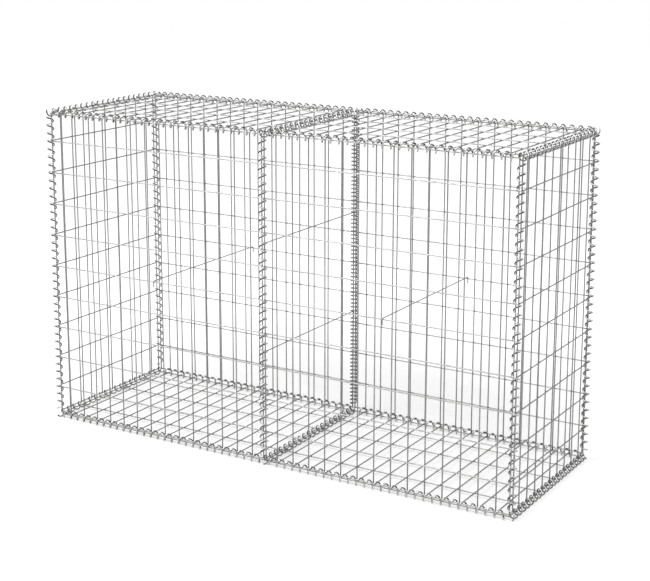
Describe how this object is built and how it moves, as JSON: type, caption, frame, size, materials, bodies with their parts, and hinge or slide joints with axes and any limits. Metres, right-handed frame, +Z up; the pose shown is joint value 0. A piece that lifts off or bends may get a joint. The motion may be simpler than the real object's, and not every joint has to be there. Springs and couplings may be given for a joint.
{
  "type": "gabion basket",
  "caption": "Empty gabion wall basket of galvanised welded mesh panels, laced along every edge with wire spirals and braced by hooked cross ties.",
  "frame": {"origin": "centre of the underside of the bounding box, on the ground", "axes": "+X along the length, -Y toward the front, +Z up"},
  "size_m": [1.4908, 0.515, 0.936],
  "materials": {
    "mesh_wire": "hot-dip galvanised, dull silver",
    "spiral_wire": "hot-dip galvanised, dull silver",
    "tie_wire": "hot-dip galvanised, dull silver"
  },
  "bodies": {
    "root": {"back_left_upright_spiral": "spiral_wire", "back_middle_spiral": "spiral_wire", "back_panel_left": "mesh_wire", "back_panel_right": "mesh_wire", "back_right_upright_spiral": "spiral_wire", "base_panel_left": "mesh_wire", "base_panel_right": "mesh_wire", "bottom_back_left_spiral": "spiral_wire", "bottom_back_right_spiral": "spiral_wire", "bottom_end_left_spiral": "spiral_wire", "bottom_end_right_spiral": "spiral_wire", "bottom_front_left_spiral": "spiral_wire", "bottom_front_right_spiral": "spiral_wire", "bottom_middle_spiral": "spiral_wire", "cover_left": "mesh_wire", "cover_right": "mesh_wire", "end_panel_left": "mesh_wire", "end_panel_right": "mesh_wire", "front_left_upright_spiral": "spiral_wire", "front_middle_spiral": "spiral_wire", "front_panel_left": "mesh_wire", "front_panel_right": "mesh_wire", "front_right_upright_spiral": "spiral_wire", "left_bay_tie": "tie_wire", "lower_middle_tie": "tie_wire", "right_bay_tie": "tie_wire", "top_back_left_spiral": "spiral_wire", "top_back_right_spiral": "spiral_wire", "top_end_left_spiral": "spiral_wire", "top_end_right_spiral": "spiral_wire", "top_front_left_spiral": "spiral_wire", "top_front_right_spiral": "spiral_wire", "top_middle_spiral": "spiral_wire", "upper_middle_tie": "tie_wire"}
  },
  "joints": []
}
